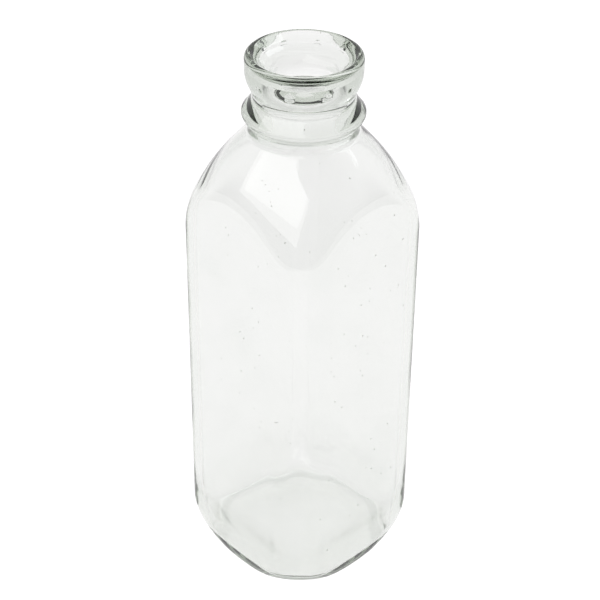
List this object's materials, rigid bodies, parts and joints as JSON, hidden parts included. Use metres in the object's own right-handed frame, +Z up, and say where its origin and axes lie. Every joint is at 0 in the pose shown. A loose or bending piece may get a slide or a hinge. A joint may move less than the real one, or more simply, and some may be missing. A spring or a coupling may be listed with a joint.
{
  "type": "glass milk bottle",
  "caption": "Square clear-glass milk bottle with rounded corners, arched flat panels, a domed shoulder, a collar ring and a heavy lip around an open, flared mouth, for holding and pouring milk.",
  "frame": {"origin": "centre of the foot, on the plane that the bottle stands on", "axes": "+Z up along the axis of the bottle; the four flat panels face +X, -X, +Y and -Y"},
  "size_m": [0.08, 0.08, 0.245],
  "materials": {
    "clear_glass": "clear moulded glass with a faint green cast, fire-polished"
  },
  "bodies": {
    "root": {"glass_bottle": "clear_glass"}
  },
  "joints": []
}
